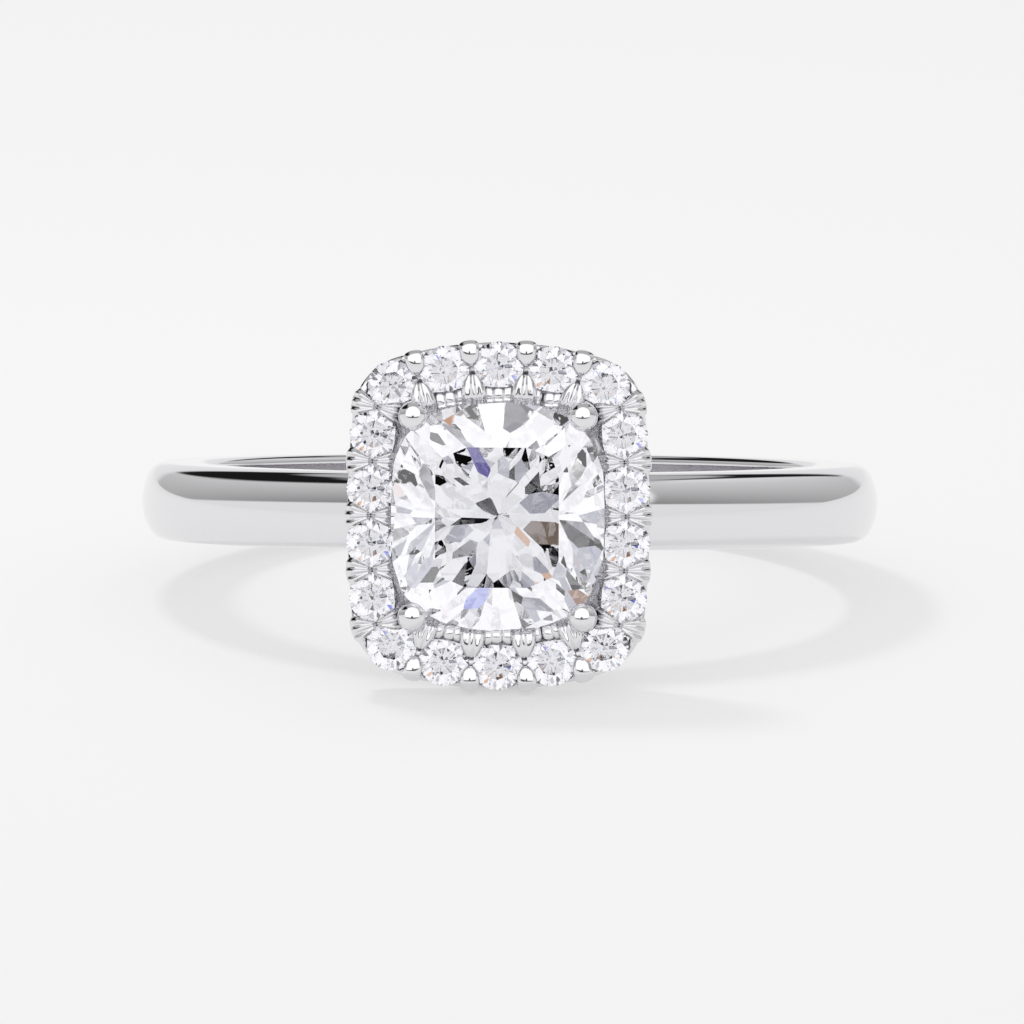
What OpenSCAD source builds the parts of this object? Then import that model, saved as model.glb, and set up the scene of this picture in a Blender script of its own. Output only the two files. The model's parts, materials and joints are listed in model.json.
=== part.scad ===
// Halo ring: a cushion-cut diamond in four round claws, ringed by eighteen round
// brilliants in shared claws, on a plain polished shank with a D-shaped section.
// Lengths are millimetres and +Z is up. The ring lies on its side on the floor as it
// rests: the head points to -Y, raised by the tilt that its own lower edge gives it.

/* [Shank] */
// inside diameter of the shank: US ring size 6
finger_d = 16.5; // [14:0.1:21]
// thickness of the shank at the middle of its section
shank_t = 1.7; // [1.5:0.05:2.2]
// width of the shank, measured along the finger
shank_w = 2.08; // [1.9:0.02:2.6]
// radius of the gentle dome on the outside of the shank
dome_r = 1.6; // [1.4:0.05:2.4]
// radius of the shank's two outer shoulders
shoulder_r = 0.5; // [0.35:0.05:0.6]
// radius of the two softened edges inside the shank
inner_edge_r = 0.2; // [0.1:0.05:0.3]

/* [Centre stone] */
// width of the centre stone across the finger
stone_w = 5.57; // [5.3:0.01:5.8]
// length of the centre stone along the finger
stone_l = 6; // [5.8:0.01:6.3]
// radius of the slight bow of the stone's two long sides
side_bow_r = 13; // [10:0.5:20]
// radius of the stronger bow of the stone's two ends
end_bow_r = 4.8; // [4.4:0.1:7]
// radius of the stone's rounded corners
stone_corner_r = 1; // [0.8:0.05:1.2]
// angle of the main crown facets from the girdle's plane
crown_angle = 35; // [30:0.5:38]
// width of the table as a share of the stone's width
table_share = 0.585; // [0.52:0.005:0.65]
// how far down the crown the star facets reach, as a share of its height
star_share = 0.34; // [0.25:0.01:0.45]
// depth below the girdle as a share of the stone's width
depth_share = 0.47; // [0.43:0.005:0.5]
// how far down the stone the facets under the girdle reach, as a share of that depth
lower_share = 0.76; // [0.6:0.01:0.85]
// thickness of the centre stone's girdle
girdle_t = 0.1; // [0.06:0.01:0.16]
// height of the centre stone's girdle above the top of the shank
stone_rise = 3; // [2.9:0.05:3.4]

/* [Halo] */
// distance from the centre stone's side to the middle line of the halo
side_reveal = 0.545; // [0.5:0.005:0.6]
// distance from the centre stone's end to the middle line of the halo
end_reveal = 0.91; // [0.85:0.01:1]
// radius of the bow of the halo's middle line along its sides
path_side_r = 27; // [22:0.5:34]
// radius of the bow of the halo's middle line across its ends
path_end_r = 8.5; // [7.5:0.1:10]
// radius of the halo's middle line at its corners
path_corner_r = 1; // [0.9:0.05:1.2]
// gap between neighbouring halo stones, measured along the middle line
stone_gap = 0.11; // [0.1:0.01:0.16]
// height of the centre stone's girdle above those of the halo stones
halo_drop = 0.55; // [0.5:0.05:0.7]
// half the width of the halo's metal tray
tray_half = 0.62; // [0.58:0.01:0.68]
// height of the halo's metal tray
tray_h = 1.1; // [1:0.05:1.2]
// how far the tray's top edge lies below the halo stones' girdles
tray_lip = 0.05; // [0.02:0.01:0.1]
// radius of the posts between the halo stones
post_r = 0.31; // [0.28:0.01:0.33]
// how far the posts stand out from the tray's walls
post_proud = 0.04; // [0.02:0.01:0.08]
// radius of the small tips that reach from the posts over two halo stones
tip_r = 0.27; // [0.24:0.01:0.29]
// length of those tips, from the middle of the post
tip_len = 0.28; // [0.2:0.01:0.34]
// height of the tips' middle above the halo stones' girdles
tip_rise = 0.02; // [0:0.01:0.05]
// radius of the round cut through the tray's outer wall below each halo stone
wall_cut_r = 0.38; // [0.3:0.01:0.42]
// radius of the light hole below each halo stone
light_hole_r = 0.34; // [0.25:0.01:0.4]

/* [Setting] */
// gap that keeps each stone free of the metal round it
setting_gap = 0.03; // [0.02:0.01:0.05]
// radius of the four round claws
claw_r = 0.4; // [0.34:0.01:0.42]
// how far the middle of a claw lies outside the centre stone's outline
claw_out = 0.14; // [0.1:0.01:0.2]
// direction of a claw from the middle of the stone's corner, from across the finger
claw_turn = 62; // [45:1:66]
// height of a claw's rounded top above the centre stone's girdle
claw_rise = 0.5; // [0.42:0.01:0.6]
// thickness of the collar that joins each claw to the tray
collar_t = 0.12; // [0.1:0.01:0.18]
// height of the tray's top edge above those collars
collar_drop = 0.15; // [0.1:0.01:0.3]
// radius of the four legs between the shank and the claws
leg_r = 0.36; // [0.3:0.01:0.4]
// distance of a leg's foot from the middle of the head, across the finger
foot_x = 0.95; // [0.8:0.05:1.3]
// metal left between a leg's foot and the side of the shank
foot_margin = 0.1; // [0.05:0.01:0.15]
// how deep the legs' feet stand in the shank
foot_depth = 0.5; // [0.4:0.05:0.7]
// how far the middle of a leg's top lies inside the middle of its claw
leg_in = 0.06; // [0:0.01:0.1]
// how far the legs reach up into the collars
leg_reach = 0.25; // [0.15:0.05:0.4]
// thickness and height of the rail that ties the legs together
rail_t = 0.36; // [0.3:0.02:0.5]
// height of the rail's underside above the top of the shank
rail_rise = 0.45; // [0.4:0.05:0.6]
// size of the rail as a share of the centre stone's outline
rail_share = 0.72; // [0.7:0.01:0.75]

/* [Hidden] */
HALO_COUNT = 18;
MAINS = 8;
// facets of the halo's round brilliants, as shares of their diameter or as above
small_crown_angle = 34.5;
small_table_share = 0.56;
small_star_share = 0.32;
small_depth_share = 0.43;
small_lower_share = 0.79;
small_girdle_share = 0.02;
small_rim_corners = 16;
// how far one of two arcs that run into each other stands proud, so that they cross
arc_overlap = 0.001;

function halo_name(i) = str("halo_stone_", i < 9 ? "0" : "", i + 1);

$fn = 64;

// A bowed outline is [half width, half length, side radius, end radius, corner radius].
// The corner's centre lies where both bows, drawn in by the corner radius, cross.
function corner_centre(q) =
    let (
        side_x = q[0] - q[2],
        end_y = q[1] - q[3],
        from_side = q[2] - q[4],
        from_end = q[3] - q[4],
        apart = norm([side_x, end_y]),
        along = (from_side * from_side - from_end * from_end + apart * apart) / (2 * apart),
        across = sqrt(from_side * from_side - along * along)
    )
    [
        side_x - side_x / apart * along - end_y / apart * across,
        end_y / apart * along - side_x / apart * across
    ];
// directions in which the corner arc starts and ends, from the +X axis
function corner_start(q) =
    let (c = corner_centre(q)) atan2(c[1], c[0] - q[0] + q[2]);
function corner_end(q) =
    let (c = corner_centre(q)) atan2(c[1] - q[1] + q[3], c[0]);
// the outline moved out by d everywhere, and the outline k times as large
function grown(q, d) = [for (v = q) v + d];
function scaled(q, k) = [for (v = q) v * k];

// point of the outline whose outward direction is a, for a from 0 to 90 degrees
function quarter_point(q, a) =
    let (c = corner_centre(q))
    a < corner_start(q) ? [q[0] - q[2] + q[2] * cos(a), q[2] * sin(a)]
    : a < corner_end(q) ? c + q[4] * [cos(a), sin(a)]
    : [q[3] * cos(a), q[1] - q[3] + q[3] * sin(a)];

// lengths of the three arcs in a quarter of the outline, and the outward direction at
// a distance along it from the middle of the upper end
function end_arc(q) = q[3] * (90 - corner_end(q)) * PI / 180;
function corner_arc(q) = q[4] * (corner_end(q) - corner_start(q)) * PI / 180;
function side_arc(q) = q[2] * corner_start(q) * PI / 180;
function quarter_length(q) = end_arc(q) + corner_arc(q) + side_arc(q);
function direction_at(q, s) =
    s < end_arc(q) ? 90 - s / q[3] * 180 / PI
    : s < end_arc(q) + corner_arc(q) ? corner_end(q) - (s - end_arc(q)) / q[4] * 180 / PI
    : corner_start(q) - (s - end_arc(q) - corner_arc(q)) / q[2] * 180 / PI;

outline = [stone_w / 2, stone_l / 2, side_bow_r, end_bow_r, stone_corner_r];
path = [
    stone_w / 2 + side_reveal, stone_l / 2 + end_reveal,
    path_side_r, path_end_r, path_corner_r
];
pitch = quarter_length(path) * 4 / HALO_COUNT;
small_r = (pitch - stone_gap) / 2;

// [x, y, direction] at n halo pitches clockwise from the middle of the upper end
function halo_station(n) =
    let (
        turn = n * 4 / HALO_COUNT,
        k = floor(turn + 0.001),
        s = (k % 2 == 0 ? turn - k : k + 1 - turn) * quarter_length(path),
        a = direction_at(path, max(0, s)),
        p = quarter_point(path, a),
        sx = k < 2 ? 1 : -1,
        sy = k == 0 || k == 3 ? 1 : -1
    )
    [sx * p[0], sy * p[1], atan2(sy * sin(a), sx * cos(a))];

finger_r = finger_d / 2;
shank_r = finger_r + shank_t;
half_w = shank_w / 2;
shoulder_y = half_w - shoulder_r;
shoulder_x = shank_r - dome_r + arc_overlap
    + sqrt(pow(dome_r - shoulder_r, 2) - pow(shoulder_y, 2));

// crown of the centre stone
table_inset = stone_w / 2 * (1 - table_share);
crown_h = table_inset * tan(crown_angle);

// heights in the head, measured from the finger's axis
girdle_h = shank_r + stone_rise;
table_h = girdle_h + girdle_t / 2 + crown_h;
halo_h = girdle_h - halo_drop;
tray_top = halo_h - tray_lip;
tray_bottom = tray_top - tray_h;
tip_h = halo_h + tip_rise;
rail_h = shank_r + rail_rise;

// the claws stand round the corners of the centre stone
claw_from_corner = stone_corner_r + claw_out;
claw_x = corner_centre(outline)[0] + claw_from_corner * cos(claw_turn);
claw_y = corner_centre(outline)[1] + claw_from_corner * sin(claw_turn);
foot_y = half_w - leg_r - foot_margin;

// The ring rests on the foot of the two lowest posts and on the shank's shoulder.
post_out = tray_half + post_proud - post_r;
low_post = halo_station(0.5);
edge_y = low_post[1] + post_out * sin(low_post[2]) + post_r;
rest_rise = edge_y - shoulder_y;
rest_run = tray_bottom + shoulder_x;
tilt = acos(shoulder_r / norm([rest_rise, rest_run])) - atan(rest_run / rest_rise);
floor_z = shoulder_x * sin(tilt) + shoulder_y * cos(tilt) + shoulder_r;
front_y = -table_h * cos(tilt) - (stone_l / 2 - table_inset) * sin(tilt);
back_y = shoulder_x * cos(tilt) - shoulder_y * sin(tilt) + shoulder_r;

// turns what is drawn round the finger's axis into the ring's pose at rest
module at_rest() {
    translate([0, -(front_y + back_y) / 2, floor_z])
        rotate([-tilt, 0, 0])
            children();
}

// turns what is drawn with its height along +Z from the finger's axis into the head
module in_head() {
    rotate([90, 0, 0])
        children();
}

// places what is drawn upright, with its front along +X, at a station of the halo
module at_station(n, h) {
    p = halo_station(n);
    translate([p[0], p[1], h])
        rotate([0, 0, p[2]])
            children();
}

module at_corners(x, y) {
    for (sx = [-1, 1]) {
        for (sy = [-1, 1]) {
            translate([sx * x, sy * y, 0])
                children();
        }
    }
}

module bowed_face(q) {
    c = corner_centre(q);
    side_y = q[2] * sin(corner_start(q));
    end_x = q[3] * cos(corner_end(q));
    intersection() {
        translate([q[0] - q[2], 0]) circle(q[2], $fn = 256);
        translate([q[2] - q[0], 0]) circle(q[2], $fn = 256);
        square([4 * q[0], 2 * side_y], center = true);
    }
    intersection() {
        translate([0, q[1] - q[3]]) circle(q[3], $fn = 256);
        translate([0, q[3] - q[1]]) circle(q[3], $fn = 256);
        square([2 * end_x, 4 * q[1]], center = true);
    }
    at_corners(c[0], c[1]) circle(q[4] + arc_overlap);
}

// ring of height h whose middle line is the outline q, t wide to each side of it
module bowed_ring(q, t, h) {
    linear_extrude(height = h)
        difference() {
            bowed_face(grown(q, t));
            bowed_face(grown(q, -t));
        }
}

// round bar between two points
module bar(from, to, r) {
    run = to - from;
    translate(from)
        rotate([0, acos(run[2] / norm(run)), atan2(run[1], run[0])])
            cylinder(h = norm(run), r = r);
}

// round pin along +Z from the floor, with a ball end whose middle is at height h
module pin(r, h) {
    rotate_extrude() {
        square([r, h]);
        intersection() {
            translate([0, h]) circle(r);
            translate([0, h - r / 2]) square([r, 2 * r]);
        }
    }
}

module shank() {
    dome_x = shank_r - dome_r;
    edge_x = finger_r + inner_edge_r;
    edge_z = half_w - inner_edge_r;
    rotate_extrude($fn = 256) {
        translate([edge_x, -half_w]) square([shoulder_x - edge_x, 2 * half_w]);
        translate([finger_r, -edge_z]) square([shoulder_x - finger_r, 2 * edge_z]);
        for (side = [-1, 1]) {
            translate([edge_x, side * edge_z]) circle(inner_edge_r);
            translate([shoulder_x, side * shoulder_y]) circle(shoulder_r);
        }
        // the dome lies between the rays from its centre through the shoulders' centres
        translate([dome_x, 0])
            intersection() {
                circle(dome_r);
                polygon([
                    [0, 0],
                    2 * [shoulder_x - dome_x, shoulder_y],
                    2 * [shoulder_x - dome_x, -shoulder_y]
                ]);
            }
    }
}

// A stone with eight mains above and below the girdle, meeting at a bottom point. rim
// holds the girdle's corners as [x, y, direction], each eighth starting at a main facet.
// inset is the table's distance from the rim, crown and depth are heights from the
// girdle, and stars and lower are the shares of those heights that the facets between
// the mains reach.
module cut_stone(rim, inset, crown, stars, depth, lower, thick) {
    n = len(rim);
    step = n / MAINS;
    half = thick / 2;
    function before(k) = (k + MAINS - 1) % MAINS;
    function main(k) = rim[(k % MAINS) * step];
    function reach(k) = main(k)[0] * cos(main(k)[2]) + main(k)[1] * sin(main(k)[2]);
    // plan position where main k and the next one cross, both drawn in by d
    function crossing(k, d) =
        let (
            a = main(k)[2],
            b = main(k + 1)[2],
            ra = reach(k) - d,
            rb = reach(k + 1) - d
        )
        [ra * sin(b) - rb * sin(a), rb * cos(a) - ra * cos(b)] / sin(b - a);
    star_inset = inset * (1 - stars);
    table_points = [
        for (k = [0 : MAINS - 1])
            let (m = main(k))
            [m[0] - inset * cos(m[2]), m[1] - inset * sin(m[2]), half + crown]
    ];
    star_points = [
        for (k = [0 : MAINS - 1])
            concat(crossing(k, star_inset), half + crown * (1 - stars))
    ];
    lower_points = [
        for (k = [0 : MAINS - 1])
            concat(crossing(k, 0) * (1 - lower), -half - depth * lower)
    ];
    // where each group of points starts in the list
    star0 = MAINS;
    top0 = star0 + MAINS;
    under0 = top0 + n;
    lower0 = under0 + n;
    tip = lower0 + MAINS;
    polyhedron(
        points = concat(
            table_points,
            star_points,
            [for (p = rim) [p[0], p[1], half]],
            [for (p = rim) [p[0], p[1], -half]],
            lower_points,
            [[0, 0, -half - depth]]
        ),
        faces = concat(
            [[for (k = [MAINS - 1 : -1 : 0]) k]],
            [for (k = [0 : MAINS - 1]) [k, (k + 1) % MAINS, star0 + k]],
            [for (k = [0 : MAINS - 1]) [k, star0 + k, top0 + k * step, star0 + before(k)]],
            [for (i = [0 : n - 1]) [star0 + floor(i / step), top0 + (i + 1) % n, top0 + i]],
            [for (i = [0 : n - 1]) [top0 + i, top0 + (i + 1) % n, under0 + (i + 1) % n, under0 + i]],
            [for (i = [0 : n - 1]) [lower0 + floor(i / step), under0 + i, under0 + (i + 1) % n]],
            [for (k = [0 : MAINS - 1]) [tip, lower0 + before(k), under0 + k * step, lower0 + k]]
        )
    );
}

// Corners of a bowed girdle: eight to a quarter, closer together round the corner. Every
// second quarter runs through the directions backwards.
function rim_directions(q) =
    let (a = corner_start(q), b = corner_end(q), m = (a + b) / 2)
    [0, a / 2, a, (a + m) / 2, m, (m + b) / 2, b, (b + 90) / 2, 90];
function bowed_rim(q) =
    let (t = rim_directions(q), n = len(t) - 1)
    [
        for (k = [0 : 3])
            for (j = [0 : n - 1])
                let (
                    a = k % 2 == 0 ? t[j] : t[n - j],
                    p = quarter_point(q, a),
                    sx = k == 0 || k == 3 ? 1 : -1,
                    sy = k < 2 ? 1 : -1
                )
                [sx * p[0], sy * p[1], k % 2 == 0 ? k * 90 + a : (k + 1) * 90 - a]
    ];

// the centre stone, or with a gap the room that the setting leaves it
module centre_cut(gap) {
    translate([0, 0, girdle_h])
        cut_stone(
            bowed_rim(grown(outline, gap)), table_inset, crown_h, star_share,
            stone_w * depth_share, lower_share, girdle_t + 2 * gap
        );
}

// measures of a halo stone
small_crown_h = small_r * (1 - small_table_share) * tan(small_crown_angle);
small_depth = 2 * small_r * small_depth_share;
small_girdle_t = 2 * small_r * small_girdle_share;

module halo_cut() {
    rim = [
        for (i = [0 : small_rim_corners - 1])
            let (a = i * 360 / small_rim_corners)
            [small_r * cos(a), small_r * sin(a), a]
    ];
    cut_stone(
        rim, small_r * (1 - small_table_share), small_crown_h, small_star_share,
        small_depth, small_lower_share, small_girdle_t
    );
}

// room for one halo stone, with the light hole below it
module halo_seat() {
    r = small_r + setting_gap;
    half = small_girdle_t / 2 + setting_gap;
    bottom = -2 * tray_h;
    rotate_extrude()
        polygon([
            [0, bottom],
            [light_hole_r, bottom],
            [light_hole_r, -half - small_depth * (1 - light_hole_r / r)],
            [r, -half],
            [r, half],
            [small_r * small_table_share + setting_gap, half + small_crown_h],
            [0, half + small_crown_h]
        ]);
}

// One post with the tip that reaches over two stones, side 1 outside and -1 inside. The
// inside ones only run down half the wall.
module halo_post(side) {
    foot = side > 0 ? tray_bottom : tray_top - tray_h / 2;
    translate([side * post_out, 0, 0]) {
        translate([0, 0, foot]) pin(post_r, tip_h - foot);
        translate([0, 0, tip_h]) rotate([0, -90 * side, 0]) pin(tip_r, tip_len);
    }
}

// the tray and its posts, with the outer wall cut through below each stone
module cut_tray() {
    difference() {
        union() {
            translate([0, 0, tray_bottom])
                bowed_ring(path, tray_half, tray_h);
            for (i = [0 : HALO_COUNT - 1]) {
                at_station(i + 0.5, 0) halo_post(1);
                at_station(i + 0.5, 0) halo_post(-1);
            }
        }
        for (i = [0 : HALO_COUNT - 1]) {
            at_station(i, tray_top)
                rotate([0, 90, 0])
                    cylinder(r = wall_cut_r, h = 2 * tray_half);
        }
    }
}

// the tray with the claws and the room for every stone
module head() {
    difference() {
        union() {
            cut_tray();
            translate([0, 0, tray_bottom])
                at_corners(claw_x, claw_y) {
                    pin(claw_r, girdle_h + claw_rise - claw_r - tray_bottom);
                    cylinder(r = claw_r + collar_t, h = tray_h - collar_drop);
                }
        }
        centre_cut(setting_gap);
        for (i = [0 : HALO_COUNT - 1]) {
            at_station(i, halo_h) halo_seat();
        }
    }
}

// four legs from the shank up into the claws' collars, tied by one rail
module basket() {
    for (sx = [-1, 1]) {
        for (sy = [-1, 1]) {
            bar(
                [sx * foot_x, sy * foot_y, shank_r - foot_depth],
                [sx * (claw_x - leg_in), sy * (claw_y - leg_in), tray_bottom + leg_reach],
                leg_r
            );
        }
    }
    translate([0, 0, rail_h])
        bowed_ring(scaled(outline, rail_share), rail_t / 2, rail_t);
}

module ring_mount() {
    color([0.86, 0.86, 0.87])
        at_rest() {
            union() {
                shank();
                in_head() basket();
            }
            in_head() head();
        }
}

module centre_stone() {
    color([0.93, 0.96, 1.0])
        at_rest() in_head() centre_cut(0);
}

module halo_stone(i) {
    color([0.9, 0.94, 1.0])
        at_rest() in_head() at_station(i, halo_h) halo_cut();
}

ring_mount();
centre_stone();
for (i = [0 : HALO_COUNT - 1]) {
    halo_stone(i);
}
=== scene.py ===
import json
import math
import random

import bmesh
import bpy
from mathutils import Matrix, Vector


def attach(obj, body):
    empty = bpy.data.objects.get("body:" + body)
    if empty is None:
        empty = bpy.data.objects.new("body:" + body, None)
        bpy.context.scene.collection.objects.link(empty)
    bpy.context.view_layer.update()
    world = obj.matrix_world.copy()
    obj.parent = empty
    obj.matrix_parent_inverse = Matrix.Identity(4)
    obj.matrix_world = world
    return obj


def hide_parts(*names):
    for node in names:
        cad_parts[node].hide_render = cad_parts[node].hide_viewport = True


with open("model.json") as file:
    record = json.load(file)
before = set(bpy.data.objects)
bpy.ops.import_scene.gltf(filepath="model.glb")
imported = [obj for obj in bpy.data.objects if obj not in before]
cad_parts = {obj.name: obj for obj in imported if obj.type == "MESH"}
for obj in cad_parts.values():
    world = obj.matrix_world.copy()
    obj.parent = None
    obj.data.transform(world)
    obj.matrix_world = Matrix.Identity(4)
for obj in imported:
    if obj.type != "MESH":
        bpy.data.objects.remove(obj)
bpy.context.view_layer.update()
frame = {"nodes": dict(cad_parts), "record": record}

# The ring's own directions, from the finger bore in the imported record. The head stands
# along outward, the finger lies along finger, and X runs across the head. Pieces are
# drawn round the finger's axis in millimetres as (across, along the finger, outward).
bore = frame["record"]["mounts"][0]
hoop_centre = Vector(bore["pos_m"])
finger = Vector(bore["axis"]).normalized()
across = Vector((1, 0, 0))
outward = across.cross(finger)
MM = 0.001
from_ring = (
    Matrix.Translation(hoop_centre)
    @ Matrix((across, finger, outward)).transposed().to_4x4()
    @ Matrix.Scale(MM, 4)
)


# Camera
# A long lens about a third of a metre away looks at the head from a little above the
# hoop's own plane, so that the far half shows as a thin crescent over the near one.
IMAGE = 1024
SENSOR = 36.0
camera_distance = 350 * MM
camera_rise = math.radians(11.5)
camera_turn = math.radians(1.4)
pixels_per_mm = 36.95
hoop_pixel = (509.8, 501.0)

towards_camera = Vector((
    math.sin(camera_turn) * math.cos(camera_rise),
    -math.cos(camera_turn) * math.cos(camera_rise),
    math.sin(camera_rise),
))
camera_right = Vector((0, 0, 1)).cross(towards_camera).normalized()
camera_up = towards_camera.cross(camera_right)
aim = (
    hoop_centre
    + camera_right * (IMAGE / 2 - hoop_pixel[0]) / pixels_per_mm * MM
    - camera_up * (IMAGE / 2 - hoop_pixel[1]) / pixels_per_mm * MM
)
lens = bpy.data.cameras.new("product_camera")
lens.sensor_width = SENSOR
lens.lens = pixels_per_mm * camera_distance / MM * SENSOR / IMAGE
lens.clip_start = 10 * MM
lens.clip_end = 20
camera = bpy.data.objects.new("product_camera", lens)
bpy.context.collection.objects.link(camera)
camera.matrix_world = (
    Matrix.Translation(aim + towards_camera * camera_distance)
    @ Matrix((camera_right, camera_up, towards_camera)).transposed().to_4x4()
)
bpy.context.scene.camera = camera
bpy.context.scene.view_settings.view_transform = "Standard"


# Studio
# The ring lies on a sheet of opal paper that is lit a little from below, in a pale room.
# Polished metal mirrors the room: grey walls, an unlit ceiling with softboxes in it and a
# big white panel in front. A small lamp at the back left throws the hoop's faint shadow.
def add_node(tree, kind, settings=None, inputs=None):
    """Adds a node. settings are its properties, inputs its sockets' values or sources."""
    node = tree.nodes.new(kind)
    for name, value in (settings or {}).items():
        setattr(node, name, value)
    for name, value in (inputs or {}).items():
        if isinstance(value, bpy.types.NodeSocket):
            tree.links.new(value, node.inputs[name])
        else:
            node.inputs[name].default_value = value
    return node


def linear(colour):
    """Linear colour with alpha 1 from an sRGB hex value such as "f4f4f4"."""
    parts = [int(colour[i:i + 2], 16) / 255 for i in (0, 2, 4)]
    return [c / 12.92 if c <= 0.04045 else ((c + 0.055) / 1.055) ** 2.4 for c in parts] + [1.0]


def towards(turn, rise):
    """Direction so many degrees to the right of the camera and above the table."""
    t, r = math.radians(turn), math.radians(rise)
    return (math.sin(t) * math.cos(r), -math.cos(t) * math.cos(r), math.sin(r))


world = bpy.data.worlds.new("studio")
bpy.context.scene.world = world
world.use_nodes = True
sky = world.node_tree
sky.nodes.clear()
direction = add_node(sky, "ShaderNodeTexCoord").outputs["Generated"]


def along(axis):
    """Cosine of the angle between a ray and an axis."""
    return add_node(
        sky, "ShaderNodeVectorMath", {"operation": "DOT_PRODUCT"}, {0: direction, 1: axis}
    ).outputs["Value"]


def seen_within(axis, radius, blur=1.0):
    """Share of a thing that is seen: 1 within radius degrees of its axis, 0 outside."""
    return add_node(
        sky, "ShaderNodeMapRange", {"interpolation_type": "SMOOTHSTEP"},
        {
            "Value": along(axis),
            "From Min": math.cos(math.radians(min(180, radius + blur))),
            "From Max": math.cos(math.radians(max(0, radius - blur))),
        },
    ).outputs["Result"]


def both(a, b):
    """Share of two things that is seen where they overlap."""
    return add_node(sky, "ShaderNodeMath", {"operation": "MULTIPLY"}, {0: a, 1: b}).outputs[0]


def outside(a):
    """Share of everything but one thing."""
    return add_node(sky, "ShaderNodeMath", {"operation": "SUBTRACT"}, {0: 1.0, 1: a}).outputs[0]


def mixed(share, below, above):
    """One colour laid over another by a share."""
    return add_node(
        sky, "ShaderNodeMix", {"data_type": "RGBA"}, {0: share, 6: below, 7: above}
    ).outputs[2]


def grey(value, blue=1.01):
    """A grey light, by default with the faintest touch of blue."""
    return (value, value, value * blue, 1)


# What polished metal mirrors. Above the table's pale far edge stand grey walls that grow
# lighter upwards behind the ring, and the ceiling there is unlit as far as the right wall.
overhead = (0, 0, 1)
high_behind = towards(180, 63)
in_walls = seen_within(towards(180, 73), 82.3, 1.2)
wall_shade = add_node(
    sky, "ShaderNodeMapRange", {},
    {"Value": along(high_behind), "From Min": 0.0, "From Max": 1.0, "To Min": 0.27, "To Max": 0.95},
).outputs["Result"]
mirrored = mixed(in_walls, grey(0.86), wall_shade)
right_wall = seen_within(towards(70, -16), 82, 2.5)
unlit_ceiling = both(seen_within(high_behind, 54.6, 2.0), outside(right_wall))

# Over these come, one after the other, the softboxes above and high behind, a low lit
# screen behind, and in front the white panel with its dark foot and the hole in it that
# the lens looks through. The number is how bright each one is.
in_front = seen_within(towards(-1, 36), 45, 2.5)
for shown_share, brightness in (
    (unlit_ceiling, 0.012),
    (seen_within(overhead, 30, 6.0), 0.5),
    (seen_within(high_behind, 26, 3.0), 0.5),
    (seen_within(towards(180, 6), 29, 4.0), 0.85),
    (both(in_front, seen_within(overhead, 87.5, 0.5)), 0.06),
    (both(in_front, seen_within(overhead, 83.5, 0.7)), 1.25),
    (seen_within(towards(-1.4, 7.8), 3.0, 1.0), 0.02),
):
    mirrored = mixed(shown_share, mirrored, grey(brightness))

# Through a diamond the studio breaks up into small patches. These are what it holds, as
# (turn, height, radius, colour). The coloured ones stand for the diamond's fire, since
# the glass here doesn't part the colours of light by itself. The 23 from (-28, 6) to
# (6, -20.5) stand where chosen facets of the centre stone look, read off a test render
# to a degree, so that its dark and coloured facets fall near the photo's.
SEEN_THROUGH_STONES = (
    (-140, 35, 40, "c8c8d4"), (100, 10, 30, "a8a8b4"), (30, 62, 24, "cacad6"),
    (-70, -20, 25, "a8a8b4"), (-30, 40, 12, "d2d2de"), (18, 2, 9, "b4b4c2"),
    (0, 14, 3.5, "101014"), (-20, 26, 4, "54545e"), (22, 28, 4, "141418"),
    (-44, 6, 4, "2c2c34"), (8, 50, 5, "1a1a20"), (-66, 34, 6, "3c3c46"),
    (70, 24, 6, "18181c"), (-100, 10, 9, "34343c"), (110, 26, 9, "5c5c66"),
    (150, 35, 10, "303036"), (-150, 56, 10, "50505a"), (-50, 56, 5, "2a2a30"),
    (90, 56, 7, "2c2c32"), (-110, 48, 7, "26262c"), (24, -30, 6, "2c2c34"),
    (-60, -40, 8, "5c5c66"), (60, -36, 8, "3c3c44"), (12, -52, 6, "44444c"),
    (-28, 6, 2.4, "5a5a62"), (-36, -37, 3, "4a4a52"), (41, 44, 3, "0e0e14"),
    (-18, -7, 2.4, "1a1a24"), (7.5, 36.5, 3, "0c0c12"), (-5, -25, 2, "3c3436"),
    (3, -3, 2.4, "4a3c40"), (-1, -18, 1.3, "4c4440"), (0, -36, 2.6, "2c2a30"),
    (-38, -23, 2.6, "1c2440"), (48, -1, 2.6, "3a1c20"), (37, 9, 2.6, "8a8a94"),
    (2, -11, 1.6, "7a7a84"), (-33, -15, 3, "94949e"), (8, -16, 1.5, "9a8a80"),
    (-9, -19, 2, "a8703c"), (-5, 39, 1.8, "5a4fa8"), (-20, 14, 2, "d8a070"),
    (27, 24, 2.2, "7c6a5c"), (-2, -15, 1.2, "6a76f0"), (54, 36, 2.2, "9a6a4c"),
    (2, -19, 1.3, "b88048"), (6, -20.5, 1.6, "d8b090"), (32, 10, 1.8, "6478ec"),
    (-34, 16, 2, "a8763e"), (56, 46, 2.2, "9488f4"), (46, 20, 2.2, "b8783c"),
    (-80, 14, 2.2, "7080ee"), (90, 40, 2.4, "b88050"), (-84, 50, 3, "c8844c"),
)
sparkling = grey(1.04, 1.05)
for patch_turn, patch_rise, patch_radius, patch_colour in SEEN_THROUGH_STONES:
    shown_share = seen_within(towards(patch_turn, patch_rise), patch_radius, 0.8)
    sparkling = mixed(shown_share, sparkling, linear(patch_colour))

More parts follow.
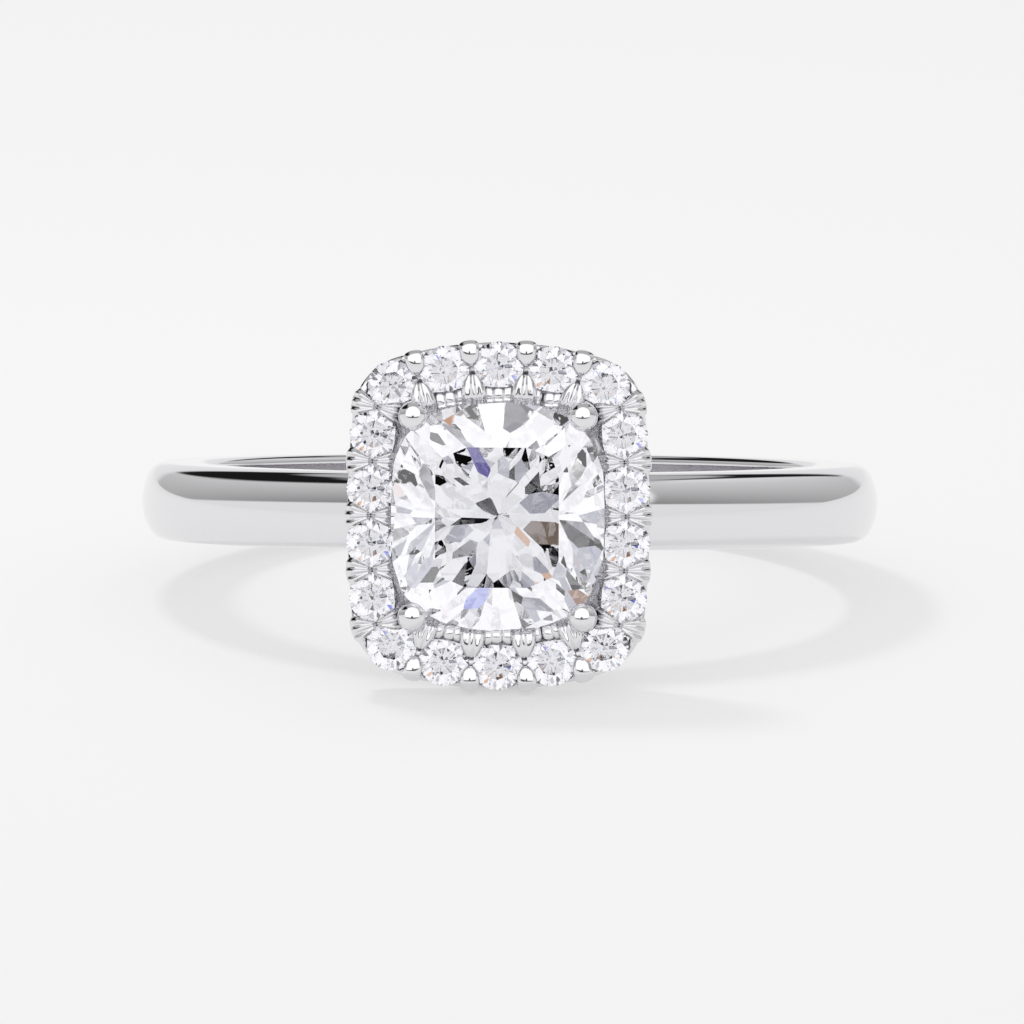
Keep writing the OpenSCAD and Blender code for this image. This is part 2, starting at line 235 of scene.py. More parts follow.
# Matt things are lit by the room's even light, and the room itself shows as pale paper.
room_light = (0.97, 0.97, 0.97, 1)
backdrop = linear("f4f4f4")
ray = add_node(sky, "ShaderNodeLightPath")
seen = mixed(ray.outputs["Is Transmission Ray"], mirrored, sparkling)
lit = mixed(ray.outputs["Is Diffuse Ray"], seen, room_light)
shown = mixed(ray.outputs["Is Camera Ray"], lit, backdrop)
background = add_node(sky, "ShaderNodeBackground", {}, {"Color": shown})
add_node(sky, "ShaderNodeOutputWorld", {}, {"Surface": background.outputs["Background"]})

# The lamp lights every distance alike, so that the shadow fades only by its soft edge.
lamp_light = 11.5
lamp_r = 7 * MM
lamp_at = Vector((-22, 20, 62)) * MM
lamp = bpy.data.lights.new("back_left_lamp", "POINT")
lamp.energy = lamp_light
lamp.shadow_soft_size = lamp_r
lamp.use_nodes = True
falloff = add_node(lamp.node_tree, "ShaderNodeLightFalloff", {}, {"Strength": 1.0})
lamp.node_tree.links.new(
    falloff.outputs["Constant"], lamp.node_tree.nodes["Emission"].inputs["Strength"]
)
lamp_object = bpy.data.objects.new("back_left_lamp", lamp)
bpy.context.collection.objects.link(lamp_object)
lamp_object.location = lamp_at
lamp_object.visible_camera = False
lamp_object.visible_glossy = False
lamp_object.visible_transmission = False

table_half = 3.0
table_glow = 0.55
table_colour = (0.3, 0.3, 0.3, 1)
table = bpy.data.objects.new("table", bpy.data.meshes.new("table"))
bpy.context.collection.objects.link(table)
corners = [(x * table_half, y * table_half, 0) for x, y in ((-1, -1), (1, -1), (1, 1), (-1, 1))]
table.data.from_pydata(corners, [], [(0, 1, 2, 3)])
paper = bpy.data.materials.new("seamless_paper")
paper.use_nodes = True
paper.node_tree.nodes.clear()
matt = add_node(paper.node_tree, "ShaderNodeBsdfDiffuse", {}, {"Color": table_colour})
glow = add_node(paper.node_tree, "ShaderNodeEmission", {}, {"Strength": table_glow})
surface = add_node(
    paper.node_tree, "ShaderNodeAddShader", {},
    {0: matt.outputs["BSDF"], 1: glow.outputs["Emission"]},
)
add_node(paper.node_tree, "ShaderNodeOutputMaterial", {}, {"Surface": surface.outputs[0]})
table.data.materials.append(paper)
# Rays that have passed through a stone see the studio's patches in place of the table.
table.visible_transmission = False


# Shank
# The hoop is a plain band of 18 carat white gold, plated with rhodium and polished to a
# mirror. It is drawn as wire with a low dome outside and a flat inside, and softened on
# all four edges.
finger_r = bore["dims"]["r_mm"]
shank_t = 1.7
shank_half = 1.04
head_taper = 0.025
dome_r = 1.6
shoulder_r = 0.5
inner_edge_r = 0.2
edge_line = 0.05
shank_steps = 360


def arc(centre, r, start, end, steps):
    """Points on an arc from start to end in degrees, both included."""
    turns = [math.radians(start + (end - start) * i / steps) for i in range(steps + 1)]
    return [(centre[0] + r * math.cos(a), centre[1] + r * math.sin(a)) for a in turns]


def shank_section(half):
    """Outline of the band as (distance from the finger's axis, place along the finger)."""
    outer = finger_r + shank_t
    shoulder_y = half - shoulder_r
    dome_x = outer - dome_r
    shoulder_x = dome_x + math.sqrt((dome_r - shoulder_r) ** 2 - shoulder_y ** 2)
    turn = math.degrees(math.atan2(shoulder_y, shoulder_x - dome_x))
    inner_x = finger_r + inner_edge_r
    inner_y = half - inner_edge_r
    flat = [
        (shoulder_x - edge_line, half),
        ((shoulder_x + inner_x) / 2, half),
        (inner_x + edge_line, half),
    ]
    upper = (
        arc((shoulder_x, shoulder_y), shoulder_r, turn, 90, 12)
        + flat
        + arc((inner_x, inner_y), inner_edge_r, 90, 180, 8)
    )
    inside = [(finger_r, inner_y - edge_line), (finger_r, 0), (finger_r, edge_line - inner_y)]
    lower = [(x, -y) for x, y in reversed(upper)]
    return arc((dome_x, 0), dome_r, -turn, turn, 24)[:-1] + upper + inside + lower[:-1]


def skin(rings, closed):
    """Points and quads over rings of equally many points. An open skin is capped."""
    n = len(rings[0])
    points = [p for ring in rings for p in ring]
    spans = len(rings) if closed else len(rings) - 1
    quads = [
        (
            k * n + i,
            k * n + (i + 1) % n,
            (k + 1) % len(rings) * n + (i + 1) % n,
            (k + 1) % len(rings) * n + i,
        )
        for k in range(spans)
        for i in range(n)
    ]
    if not closed:
        quads += [tuple(range(n - 1, -1, -1)), tuple(range(len(points) - n, len(points)))]
    return points, quads


def joined(skins):
    """Points and faces of several skins as those of one mesh."""
    points, faces = [], []
    for skin_points, skin_faces in skins:
        faces += [tuple(i + len(points) for i in f) for f in skin_faces]
        points += skin_points
    return points, faces


def make_piece(name, skins, material):
    """One smooth object from skins drawn in the ring's own millimetres."""
    mesh = bpy.data.meshes.new(name)
    points, faces = joined(skins)
    mesh.from_pydata([from_ring @ Vector(p) for p in points], [], faces)
    mesh.polygons.foreach_set("use_smooth", [True] * len(mesh.polygons))
    mesh.materials.append(material)
    mesh.update()
    piece = bpy.data.objects.new(name, mesh)
    bpy.context.collection.objects.link(piece)
    return piece


def part_of_mount(piece):
    """Says that a piece is soldered metal, and stands for the CAD mount."""
    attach(piece, "root")
    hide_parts("ring_mount")


# Rhodium plate polished with rouge: close to a perfect mirror, with the finest hairlines
# that the last cloth leaves, 0.05 mm apart here so that they can show at all. Painted
# shade darkens the metal's colour in the crevices, where other metal lies close by.
hairline_mm = 0.05
painted_shade_reach_mm = 0.16
white_gold = bpy.data.materials.new("rhodium_plated_white_gold")
white_gold.use_nodes = True
gold_tree = white_gold.node_tree
gold_place = add_node(gold_tree, "ShaderNodeTexCoord").outputs["Object"]
hairline_map = add_node(
    gold_tree, "ShaderNodeMapping", {},
    {"Vector": gold_place, "Scale": (0.12, 1.0, 1.0), "Rotation": (0.2, 0.3, 0.5)},
)
hairlines = add_node(
    gold_tree, "ShaderNodeTexNoise", {},
    {"Vector": hairline_map.outputs["Vector"], "Scale": 1 / (hairline_mm * MM), "Detail": 3.0},
)
gold_roughness = add_node(
    gold_tree, "ShaderNodeMapRange", {},
    {"Value": hairlines.outputs["Fac"], "To Min": 0.03, "To Max": 0.07},
)
gold_bump = add_node(
    gold_tree, "ShaderNodeBump", {},
    {"Height": hairlines.outputs["Fac"], "Strength": 0.008, "Distance": 0.01 * MM},
)
gold_shader = gold_tree.nodes["Principled BSDF"]
# Painted shade: where the AO node finds metal within reach, the colour goes from e9e8ea to 85858b.
open_share = add_node(
    gold_tree, "ShaderNodeAmbientOcclusion", {"samples": 6}, {"Distance": painted_shade_reach_mm * MM}
)
unshaded_share = add_node(
    gold_tree, "ShaderNodeMapRange", {},
    {"Value": open_share.outputs["AO"], "From Min": 0.1, "From Max": 0.7},
)
gold_colour_with_painted_shade = add_node(
    gold_tree, "ShaderNodeMix", {"data_type": "RGBA"},
    {0: unshaded_share.outputs["Result"], 6: linear("85858b"), 7: linear("e9e8ea")},
)
gold_tree.links.new(gold_colour_with_painted_shade.outputs[2], gold_shader.inputs["Base Color"])
gold_shader.inputs["Metallic"].default_value = 1.0
gold_tree.links.new(gold_roughness.outputs["Result"], gold_shader.inputs["Roughness"])
gold_tree.links.new(gold_bump.outputs["Normal"], gold_shader.inputs["Normal"])

# Inside the head no brush reaches, and the metal keeps the satin of the tumbling barrel.
# The copy keeps the same painted shade in the crevices.
satin_gold = white_gold.copy()
satin_gold.name = "tumbled_white_gold"
satin_tree = satin_gold.node_tree
satin_roughness = satin_tree.nodes[gold_roughness.name]
satin_roughness.inputs["To Min"].default_value = 0.14
satin_roughness.inputs["To Max"].default_value = 0.24

shank_rings = []
for i in range(shank_steps):
    turn = -2 * math.pi * i / shank_steps
    half = shank_half - head_taper * max(0.0, math.cos(turn)) ** 2
    shank_rings.append([
        (r * math.sin(turn), place, r * math.cos(turn)) for r, place in shank_section(half)
    ])
shank = make_piece("shank", [skin(shank_rings, True)], white_gold)
part_of_mount(shank)


# Basket
# Four round wires rise from the shank, lean out to the corners of the centre stone and
# run on as its claws. Their ends are filed to round buttons over the stone's corners. A
# rail of square wire, soldered inside them, ties them together.
stone_half = (2.785, 3.0)
stone_bow = (13.0, 4.8)
stone_corner_r = 1.0
girdle_h = 12.95
claw_out = 0.14
claw_turn = math.radians(62)
claw_r = 0.36
button_r = 0.395
claw_top = 13.45
foot_at = (0.95, 0.58)
foot_h = 9.45
collar_h = 11.5
knee_share = 0.45
elbow_share = 0.86
upright_h = 0.35
dome_rings = 12
dome_fullness = 0.75


def bowed(half, bow, corner_r):
    """A bowed outline, with the centre of its corner and the corner's two end angles."""
    side_x, end_y = half[0] - bow[0], half[1] - bow[1]
    from_side, from_end = bow[0] - corner_r, bow[1] - corner_r
    apart = math.hypot(side_x, end_y)
    along = (from_side ** 2 - from_end ** 2 + apart ** 2) / (2 * apart)
    over = math.sqrt(from_side ** 2 - along ** 2)
    x = side_x - side_x / apart * along - end_y / apart * over
    y = end_y / apart * along - side_x / apart * over
    start = math.atan2(y, x - side_x)
    end = math.atan2(y - end_y, x)
    return {"half": half, "bow": bow, "r": corner_r, "corner": (x, y), "turns": (start, end)}


def quarter_length(outline):
    """Length of a quarter of an outline."""
    start, end = outline["turns"]
    bow = outline["bow"]
    return bow[1] * (math.pi / 2 - end) + outline["r"] * (end - start) + bow[0] * start


def station(outline, share):
    """(x, y, outward direction) at a share of the way round, clockwise from the end."""
    quarter = share * 4 % 4
    k = int(quarter + 1e-6)
    s = (quarter - k if k % 2 == 0 else k + 1 - quarter) * quarter_length(outline)
    start, end = outline["turns"]
    (hx, hy), (bx, by), r = outline["half"], outline["bow"], outline["r"]
    end_arc = by * (math.pi / 2 - end)
    corner_arc = r * (end - start)
    if s < end_arc:
        a = math.pi / 2 - s / by
        x, y = by * math.cos(a), hy - by + by * math.sin(a)
    elif s < end_arc + corner_arc:
        a = end - (s - end_arc) / r
        x, y = outline["corner"][0] + r * math.cos(a), outline["corner"][1] + r * math.sin(a)
    else:
        a = max(0.0, start - (s - end_arc - corner_arc) / bx)
        x, y = hx - bx + bx * math.cos(a), bx * math.sin(a)
    sx = 1 if k < 2 else -1
    sy = 1 if k in (0, 3) else -1
    return sx * x, sy * y, math.atan2(sy * math.sin(a), sx * math.cos(a))


def smooth_route(knots, steps):
    """Points on a smooth curve through the knots."""
    ends = [knots[0] * 2 - knots[1]] + knots + [knots[-1] * 2 - knots[-2]]
    route = []
    for a, b, c, d in zip(ends, ends[1:], ends[2:], ends[3:]):
        for i in range(steps):
            t = i / steps
            route.append((
                b * 2 + (c - a) * t + (a * 2 - b * 5 + c * 4 - d) * t ** 2
                + (b * 3 - a - c * 3 + d) * t ** 3
            ) / 2)
    return route + [knots[-1]]


def round_wire(route, radii, sides):
    """Rings of points square to a route, each with its own radius."""
    rings = []
    side = Vector((1, 0, 0))
    for i, p in enumerate(route):
        ahead = (route[min(i + 1, len(route) - 1)] - route[max(i - 1, 0)]).normalized()
        side = (side - ahead * side.dot(ahead)).normalized()
        other = ahead.cross(side)
        rings.append([
            tuple(p + radii[i] * (side * math.cos(a) + other * math.sin(a)))
            for a in (2 * math.pi * j / sides for j in range(sides))
        ])
    return rings


# Each claw stands so far outside the stone's corner, seen from the corner's middle.
stone_corner = bowed(stone_half, stone_bow, stone_corner_r)["corner"]
claw_at = (
    stone_corner[0] + (stone_corner_r + claw_out) * math.cos(claw_turn),
    stone_corner[1] + (stone_corner_r + claw_out) * math.sin(claw_turn),
)
wires = []
for sx in (-1, 1):
    for sy in (-1, 1):
        foot = Vector((sx * foot_at[0], sy * foot_at[1], foot_h))
        collar = Vector((sx * claw_at[0], sy * claw_at[1], collar_h))
        knee = foot.lerp(collar, knee_share)
        elbow = foot.lerp(collar, elbow_share)
        upright = collar + Vector((0, 0, upright_h))
        shoulder = Vector((sx * claw_at[0], sy * claw_at[1], claw_top - claw_r))
        route = smooth_route([foot, knee, elbow, upright, shoulder], 8)
        radii = [claw_r] * len(route)
        radii[-3:] = [claw_r + 0.01, claw_r + 0.025, button_r]
        for i in range(1, dome_rings + 1):
            a = math.pi / 2 * i / (dome_rings + 0.3)
            route.append(shoulder + Vector((0, 0, claw_r * math.sin(a))))
            radii.append(button_r * math.cos(a) ** dome_fullness)
        wires.append(skin(round_wire(route, radii, 32), False))
claws = make_piece("centre_claws", wires, white_gold)
part_of_mount(claws)

rail_share = 0.72
rail_h = 10.4
rail_t = 0.36
rail_edge_r = 0.07
rail_steps = 144


def soft_square(width, height, r, steps=4):
    """Outline of a rectangle with rounded corners, its lower edge at height 0."""
    x, y = width / 2 - r, height - r
    return (
        arc((x, r), r, -90, 0, steps) + arc((x, y), r, 0, 90, steps)
        + arc((-x, y), r, 90, 180, steps) + arc((-x, r), r, 180, 270, steps)
    )


def along_outline(outline, steps, section_at):
    """Closed skin whose section at each share is [(distance aside, height)]."""
    rings = []
    for i in range(steps):
        share = i / steps
        x, y, a = station(outline, share)
        rings.append([
            (x + d * math.cos(a), y + d * math.sin(a), h) for d, h in section_at(share)
        ])
    return skin(rings, True)


rail_outline = bowed(
    tuple(v * rail_share for v in stone_half), tuple(v * rail_share for v in stone_bow),
    stone_corner_r * rail_share,
)
rail_section = [(d, h + rail_h) for d, h in soft_square(rail_t, rail_t, rail_edge_r)]
rail_skin = along_outline(rail_outline, rail_steps, lambda share: rail_section)
rail = make_piece("basket_rail", [rail_skin], white_gold)
part_of_mount(rail)


# Halo tray
# The halo is cast as a low wall round the centre stone, sawn into a scallop below every
# small stone so that light comes in from the side. Each stone sits in its own cup with
# an open bottom, and a bar between the cups joins the inner wall to the outer one.
HALO_COUNT = 18
halo_half = (3.33, 3.91)
halo_bow = (27.0, 8.5)
halo_corner_r = 1.0
halo_h = 12.4
tray_half = 0.62
tray_bottom = 11.25
tray_top = 12.35
wall_t = 0.24
wall_edge_r = 0.09
wall_steps = HALO_COUNT * 24
scallop_depth = 0.3
scallop_floor = 0.06
scallop_flank = 0.27
cup_r = 0.6
cup_hole_r = 0.36
cup_h = 0.5
cup_lift = 0.5
bar_w = 0.5
bar_h = 0.8
bar_edge_r = 0.08
bar_lift = 0.12
bar_half = tray_half - 0.1

halo_outline = bowed(halo_half, halo_bow, halo_corner_r)


def eased(x):
    """0 to 1, slow at both ends."""
    x = min(1.0, max(0.0, x))
    return x * x * (3 - 2 * x)


def scalloped_wall(aside):
    """Skin of a wall, aside from the halo's middle, that dips below every stone."""
    def section(share):
        near = share * HALO_COUNT % 1
        near = min(near, 1 - near)
        top = tray_top - scallop_depth * (1 - eased((near - scallop_floor) / scallop_flank))
        outline = soft_square(wall_t, top - tray_bottom, wall_edge_r)
        return [(aside + d, tray_bottom + h) for d, h in outline]
    return along_outline(halo_outline, wall_steps, section)


walls = make_piece(
    "halo_walls",
    [scalloped_wall(tray_half - wall_t / 2), scalloped_wall(wall_t / 2 - tray_half)],
    white_gold,
)
part_of_mount(walls)


def lathe(profile, steps):
    """Closed skin from [(radius, height)] turned round the upright axis."""
    return skin([
        [(r * math.cos(a), r * math.sin(a), h) for r, h in profile]
        for a in (-2 * math.pi * i / steps for i in range(steps))
    ], True)


def loose_shape(name, shape_skin):
    """A shape in millimetres that a Geometry Nodes tree sets along the halo."""
    mesh = bpy.data.meshes.new(name)
    points, faces = shape_skin
    mesh.from_pydata(points, [], faces)
    mesh.polygons.foreach_set("use_smooth", [True] * len(mesh.polygons))
    shape = bpy.data.objects.new(name, mesh)
    bpy.context.collection.objects.link(shape)
    return shape


# The tree that sets one shape at each of a row of points, turned to face outward. Hand
# work leaves no two alike, so each is turned and sized a little at random.
halo_tree = bpy.data.node_groups.new("set_round_halo", "GeometryNodeTree")
for label, kind in (
    ("Points", "NodeSocketGeometry"), ("Shape", "NodeSocketObject"),
    ("Uneven turn", "NodeSocketFloat"), ("Uneven size", "NodeSocketFloat"),
    ("Seed", "NodeSocketInt"), ("Finish", "NodeSocketMaterial"),
):
    halo_tree.interface.new_socket(label, in_out="INPUT", socket_type=kind)
halo_tree.interface.new_socket("Mesh", in_out="OUTPUT", socket_type="NodeSocketGeometry")
given = add_node(halo_tree, "NodeGroupInput").outputs
outward_turn = add_node(
    halo_tree, "GeometryNodeInputNamedAttribute", {"data_type": "FLOAT"}, {"Name": "facing"}
)
low_turn = add_node(
    halo_tree, "ShaderNodeMath", {"operation": "MULTIPLY"}, {0: given["Uneven turn"], 1: -1.0}
)
stray_turn = add_node(
    halo_tree, "FunctionNodeRandomValue", {"data_type": "FLOAT"},
    {2: low_turn.outputs[0], 3: given["Uneven turn"], "Seed": given["Seed"]},
)
facing = add_node(
    halo_tree, "ShaderNodeMath", {"operation": "ADD"},
    {0: outward_turn.outputs[0], 1: stray_turn.outputs[1]},
)
euler = add_node(halo_tree, "ShaderNodeCombineXYZ", {}, {"Z": facing.outputs[0]})
low_size = add_node(
    halo_tree, "ShaderNodeMath", {"operation": "SUBTRACT"}, {0: 1.0, 1: given["Uneven size"]}
)
size = add_node(
    halo_tree, "FunctionNodeRandomValue", {"data_type": "FLOAT"},
    {2: low_size.outputs[0], 3: 1.0, "Seed": given["Seed"]},
)
shape_info = add_node(halo_tree, "GeometryNodeObjectInfo", {}, {"Object": given["Shape"]})
placed = add_node(
    halo_tree, "GeometryNodeInstanceOnPoints", {},
    {
        "Points": given["Points"], "Instance": shape_info.outputs["Geometry"],
        "Rotation": euler.outputs[0], "Scale": size.outputs[1],
    },
)
real = add_node(
    halo_tree, "GeometryNodeRealizeInstances", {}, {"Geometry": placed.outputs["Instances"]}
)
finished = add_node(
    halo_tree, "GeometryNodeSetMaterial", {},
    {"Geometry": real.outputs["Geometry"], "Material": given["Finish"]},
)
add_node(halo_tree, "NodeGroupOutput", {}, {"Mesh": finished.outputs["Geometry"]})


def set_round_halo(name, shape, places, height, seed, finish, uneven_turn=0.0, uneven_size=0.0):
    """Sets a shape at places (x, y, facing) round the halo and makes it a plain mesh."""
    points = bpy.data.meshes.new(name + "_points")
    points.from_pydata([(x, y, height) for x, y, a in places], [], [])
    facing_values = points.attributes.new("facing", "FLOAT", "POINT")
    facing_values.data.foreach_set("value", [a for x, y, a in places])
    carrier = bpy.data.objects.new(name + "_points", points)
    bpy.context.collection.objects.link(carrier)
    modifier = carrier.modifiers.new("set_round_halo", "NODES")
    modifier.node_group = halo_tree
    values = {
        "Shape": shape, "Uneven turn": uneven_turn, "Uneven size": uneven_size,
        "Seed": seed, "Finish": finish,
    }
    for item in halo_tree.interface.items_tree:
        if item.in_out == "INPUT" and item.name in values:
            modifier[item.identifier] = values[item.name]
    bpy.context.view_layer.update()
    evaluated = carrier.evaluated_get(bpy.context.evaluated_depsgraph_get())
    mesh = bpy.data.meshes.new_from_object(evaluated)
    mesh.name = name
    mesh.transform(from_ring)
    bpy.data.objects.remove(carrier)
    bpy.data.objects.remove(shape)
    piece = bpy.data.objects.new(name, mesh)
    bpy.context.collection.objects.link(piece)
    part_of_mount(piece)


seats = [station(halo_outline, i / HALO_COUNT) for i in range(HALO_COUNT)]
between = [station(halo_outline, (i + 0.5) / HALO_COUNT) for i in range(HALO_COUNT)]
cup_profile = [
    (cup_hole_r, 0), (cup_hole_r + 0.03, -0.03), (cup_r - 0.06, -0.03), (cup_r, 0.05),
    (cup_r, cup_h - 0.03), (cup_r - 0.02, cup_h), (cup_r - 0.05, cup_h), (cup_hole_r, 0.2),
]
cup = loose_shape("cup", lathe(cup_profile, 40))
set_round_halo("halo_cups", cup, seats, tray_bottom + cup_lift, 1, satin_gold)

bar_section = soft_square(bar_w, bar_h, bar_edge_r)
bar_ends = [[(x, y, h) for y, h in bar_section] for x in (-bar_half, bar_half)]
bar = loose_shape("bar", skin(bar_ends, False))
set_round_halo("halo_bars", bar, between, tray_bottom + bar_lift, 2, satin_gold)


# Small claws
# Between two halo stones stands one post outside and one inside, each bent over both
# stones like a tongue and cut by the graver with two fine lines, apart from the outer
# ones at the head's ends. Small flutes there fill the gap to the centre stone.
# The grooves run out just below the stones' girdles, and are full deep where a claw
# reaches 0.3 mm to either side.
groove_start = -0.12
groove_run_in = 0.2
full_depth_half = 0.3
claw_squareness = 0.8


def tongue(knots, half_t, grooves, groove_depth):
    """Skin of a bent post through knots (distance outside the halo's middle, height above
    its girdles, half width), cut along its bent part with fine grooves."""
    route = smooth_route([Vector(knot) for knot in knots], 6)
    sides = 64 if grooves else 28
    rings = []
    for i, (out, h, half_width) in enumerate(route):
        ahead = route[min(i + 1, len(route) - 1)] - route[max(i - 1, 0)]
        ahead = Vector((ahead.x, 0, ahead.y)).normalized()
        top = Vector((0, 1, 0)).cross(ahead)
        ring_t = min(half_t, half_width)
        run_in = eased((h - groove_start) / groove_run_in)
        depth = groove_depth * half_width / full_depth_half * run_in
        ring = []
        for j in range(sides):
            a = -2 * math.pi * j / sides
            wide = math.cos(a)
            high = math.copysign(abs(math.sin(a)) ** claw_squareness, math.sin(a))
            wave = math.cos(math.pi * (grooves + 1) * (wide + 1))
            thick = ring_t - depth * (0.5 + 0.5 * wave)
            ring.append(tuple(Vector((out, wide * half_width, h)) + top * high * thick))
        rings.append(ring)
    return skin(rings, False)


outer_end = [(0.58, -0.7, 0.24), (0.60, -0.1, 0.255), (0.58, 0.05, 0.26), (0.50, 0.11, 0.26),
             (0.38, 0.12, 0.255), (0.27, 0.11, 0.24), (0.18, 0.08, 0.20), (0.12, 0.04, 0.14),
             (0.09, 0.0, 0.05)]
inner_end = [(-0.70, -0.9, 0.28), (-0.92, -0.4, 0.31), (-1.00, -0.10, 0.33), (-0.95, 0.06, 0.34),
             (-0.80, 0.12, 0.34), (-0.62, 0.13, 0.33), (-0.46, 0.12, 0.29), (-0.34, 0.08, 0.22),
             (-0.27, 0.03, 0.13), (-0.25, 0.0, 0.04)]
outer_side = [(0.54, -0.6, 0.32), (0.57, -0.1, 0.35), (0.56, 0.04, 0.36), (0.47, 0.12, 0.34),
              (0.34, 0.14, 0.26), (0.2, 0.12, 0.17), (0.08, 0.08, 0.11), (0.0, 0.0, 0.05)]
inner_side = [(-0.52, -0.6, 0.27), (-0.60, -0.15, 0.30), (-0.58, 0.05, 0.31), (-0.46, 0.13, 0.28),
              (-0.32, 0.14, 0.22), (-0.2, 0.12, 0.15), (-0.08, 0.08, 0.11), (0.0, 0.0, 0.05)]
inner_flute = [(-0.52, -0.40, 0.12), (-0.60, -0.12, 0.16), (-0.70, -0.03, 0.17),
               (-0.86, -0.03, 0.17), (-1.01, -0.07, 0.16), (-1.08, -0.50, 0.12)]
flute_spacing = 0.22


def at_ends(i):
    """Whether the halo's place i, counted in stones, is at one of the head's ends."""
    return abs(math.cos(2 * math.pi * i / HALO_COUNT)) > 0.75


end_places = [p for i, p in enumerate(between) if at_ends(i + 0.5)]
side_places = [p for p in between if p not in end_places]
flute_places = [
    station(halo_outline, (i + side * flute_spacing) / HALO_COUNT % 1)
    for i in range(HALO_COUNT) if at_ends(i)
    for side in (-1, 0, 1)
]
for name, knots, half_t, grooves, groove_depth, places, seed in (
    ("outer_claws_ends", outer_end, 0.12, 0, 0, end_places, 3),
    ("inner_claws_ends", inner_end, 0.16, 2, 0.04, end_places, 4),
    ("outer_claws_sides", outer_side, 0.14, 2, 0.09, side_places, 5),
    ("inner_claws_sides", inner_side, 0.14, 2, 0.09, side_places, 6),
    ("inner_flutes", inner_flute, 0.12, 0, 0, flute_places, 7),
):
    claw = loose_shape(name + "_shape", tongue(knots, half_t, grooves, groove_depth))
    set_round_halo(name, claw, places, halo_h, seed, white_gold, uneven_turn=0.06, uneven_size=0.05)

# The wall between the halo and the centre stone slopes in under the stone, and is cut
# with upright flutes that throw light back up into it.
flutes = HALO_COUNT * 2
flute_depth = 0.06
apron_steps = flutes * 10
apron_lip = 12.24
apron_bottom = 12.04


def apron_section(share):
    """Section of the sloping wall, its upper face waved by the flutes."""
    wave = flute_depth * abs(math.sin(math.pi * share * flutes))
    return [
        (-0.50, tray_top + 0.04), (-0.60, tray_top + 0.05 - wave), (-0.95, apron_lip - wave),
        (-0.97, apron_bottom + 0.06), (-0.93, apron_bottom), (-0.50, apron_bottom),
    ]


apron_skin = along_outline(halo_outline, apron_steps, apron_section)
apron = make_piece("fluted_apron", [apron_skin], satin_gold)
part_of_mount(apron)


# Stones
# The centre stone is a cushion-cut diamond and the halo is eighteen round brilliants.
# They are clear and colourless, cut flat facet by facet on an iron wheel with diamond
# dust and oil, and so hard that no facet's edge is rounded.
diamond_ior = 2.417
diamond = bpy.data.materials.new("polished_diamond")
diamond.use_nodes = True
stone_tree = diamond.node_tree
stone_tree.nodes.clear()
clear = add_node(
    stone_tree, "ShaderNodeBsdfGlass", {},
    {"Color": (1, 1, 1, 1), "Roughness": 0.0, "IOR": diamond_ior},
)
add_node(stone_tree, "ShaderNodeOutputMaterial", {}, {"Surface": clear.outputs["BSDF"]})
for name, node in frame["nodes"].items():
    if name.startswith("halo_stone"):
        node.material_slots[0].material = diamond

# Light turns back many times inside a cut stone before it finds its way out, and a facet
# whose light is given up too early shows black.
light_paths = bpy.context.scene.cycles
light_paths.max_bounces = 20
light_paths.glossy_bounces = 12
light_paths.transmission_bounces = 20

# The centre stone's outline is a little fuller at the corners than the solid's, where
# the claws cover it.
cut_bow = (13.0, 7.6)
cut_corner_r = 0.95
cut_outline = bowed(stone_half, cut_bow, cut_corner_r)
girdle_t = 0.1
table_share = 0.585
crown_slope = 35
depth_share = 0.47
crown_h = stone_half[0] * (1 - table_share) * math.tan(math.radians(crown_slope))
stone_depth = 2 * stone_half[0] * depth_share


def support(outline, a):
    """Distance of the outline's outermost line square to direction a, in radians."""
    a = abs(math.atan2(math.sin(a), math.cos(a)))
    a = math.pi - a if a > math.pi / 2 else a
    start, end = outline["turns"]
    (hx, hy), (bx, by), r = outline["half"], outline["bow"], outline["r"]
    if a < start:
        return (hx - bx) * math.cos(a) + bx
    if a < end:
        return outline["corner"][0] * math.cos(a) + outline["corner"][1] * math.sin(a) + r
    return (hy - by) * math.sin(a) + by


def cut_facets(mesh_edit, directions, slope, plane_at, side):
    """Cuts one facet per direction in degrees, sloping from the girdle's plane."""
    alpha = math.radians(slope)
    for degrees in directions:
        a = math.radians(degrees)
        normal = Vector((math.sin(alpha) * math.cos(a), math.sin(alpha) * math.sin(a),
                         side * math.cos(alpha)))
        point = plane_at(a, alpha)
        cut = bmesh.ops.bisect_plane(
            mesh_edit, geom=mesh_edit.verts[:] + mesh_edit.edges[:] + mesh_edit.faces[:],
            plane_co=point, plane_no=normal, clear_outer=True, dist=1e-6,
        )
        rim = [e for e in cut["geom_cut"] if isinstance(e, bmesh.types.BMEdge)]
        bmesh.ops.holes_fill(mesh_edit, edges=rim, sides=0)


def from_girdle(side, inset=0.0):
    """Planes that pass the girdle's edge, drawn in by inset."""
    def place(a, alpha):
        reach = support(cut_outline, a) - inset
        return Vector((reach * math.cos(a), reach * math.sin(a), side * girdle_t / 2))
    return place


def from_axis(height):
    """Planes that all cross the stone's middle line at a height."""
    return lambda a, alpha: Vector((0, 0, height))


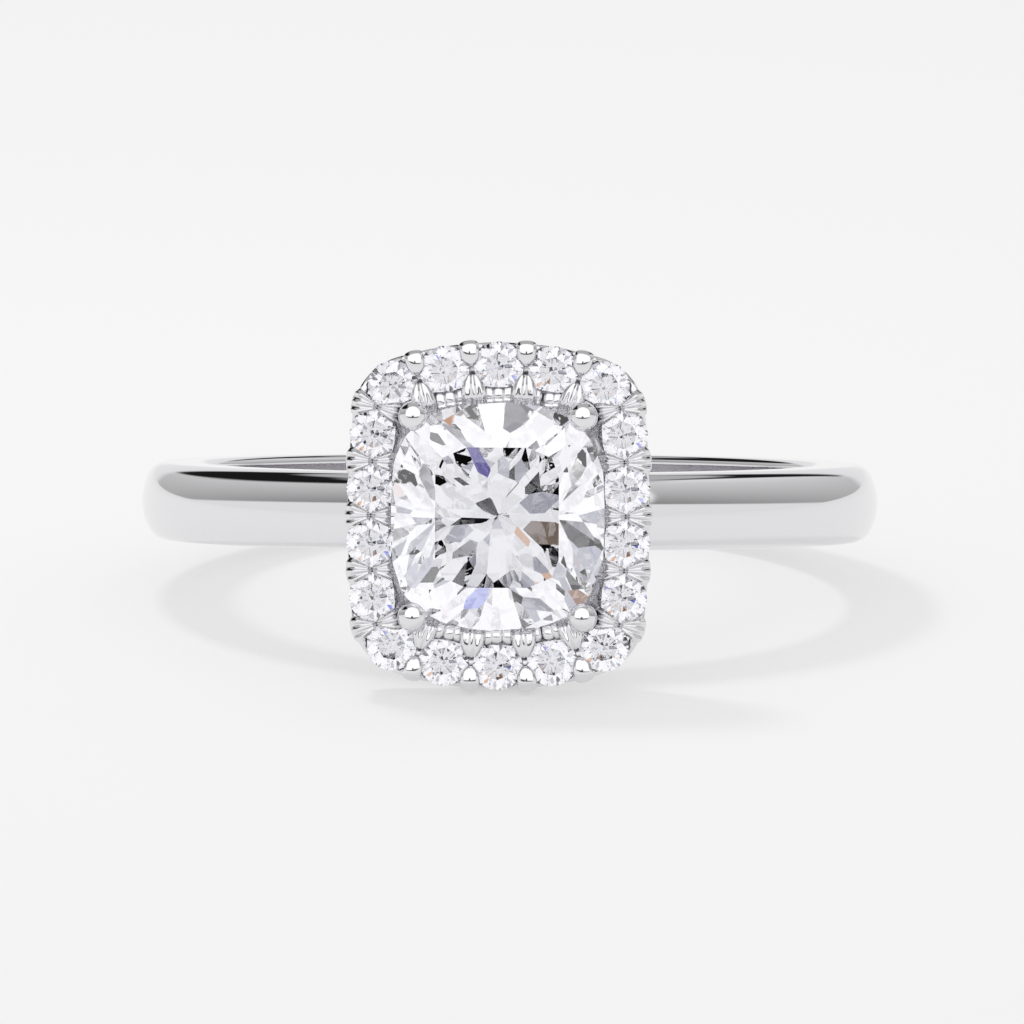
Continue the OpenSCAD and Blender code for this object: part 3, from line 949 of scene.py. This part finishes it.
def all_round(angles):
    """Angles in the first quarter, repeated in the other three."""
    full = set()
    for a in angles:
        full |= {a % 360, (180 - a) % 360, (180 + a) % 360, -a % 360}
    return sorted(full)


# Cut from a block: the girdle's small faces, the table, and three tiers of the crown.
edit = bmesh.new()
bmesh.ops.create_cube(edit, size=10)
rim_turns = all_round((0, 2.2, 6.5, 14, 24, 34, 44, 54, 63, 70, 76, 82, 87, 90))
cut_facets(edit, rim_turns, 90, from_girdle(1), 1)
cut_facets(edit, (0,), 0, from_axis(girdle_t / 2 + crown_h), 1)
cut_facets(edit, all_round((5, 16, 30, 38, 50, 60, 73, 84)), 41, from_girdle(1), 1)
cut_facets(edit, all_round((0, 44, 90)), crown_slope, from_girdle(1, 0.02), 1)
cut_facets(edit, all_round((22, 67)), 27, from_girdle(1, -0.28), 1)

# Below the girdle the facets lie in three tiers that all but meet at the lowest point,
# and a fourth of steep small ones along the girdle. No hand-cut stone is quite regular,
# so each facet of the three strays a little from its tier.
stray = random.Random(11)
for turns, slope, depth_part in (
    ((0, 45, 90), 39.5, 0.98),
    ((22, 67), 41, 1.0),
    ((8, 16, 30, 38, 52, 60, 74, 82), 43.5, 1.06),
):
    for turn_deg in all_round(turns):
        turned = turn_deg + stray.uniform(-2, 2)
        sloped = slope + stray.uniform(-0.4, 0.4)
        lowest = from_axis(-stone_depth * depth_part * (1 + stray.uniform(-0.01, 0.01)))
        cut_facets(edit, (turned,), sloped, lowest, -1)
steep_turns = all_round((4, 12, 20, 28, 36, 44, 52, 60, 68, 76, 84))
cut_facets(edit, steep_turns, 47.5, from_girdle(-1), -1)
bmesh.ops.remove_doubles(edit, verts=edit.verts[:], dist=1e-4)
bmesh.ops.recalc_face_normals(edit, faces=edit.faces[:])
edit.transform(from_ring @ Matrix.Translation((0, 0, girdle_h)))
stone_mesh = bpy.data.meshes.new("cushion_stone")
edit.to_mesh(stone_mesh)
edit.free()
stone_mesh.materials.append(diamond)
cushion_stone = bpy.data.objects.new("cushion_stone", stone_mesh)
bpy.context.collection.objects.link(cushion_stone)
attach(cushion_stone, "root")
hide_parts("centre_stone")
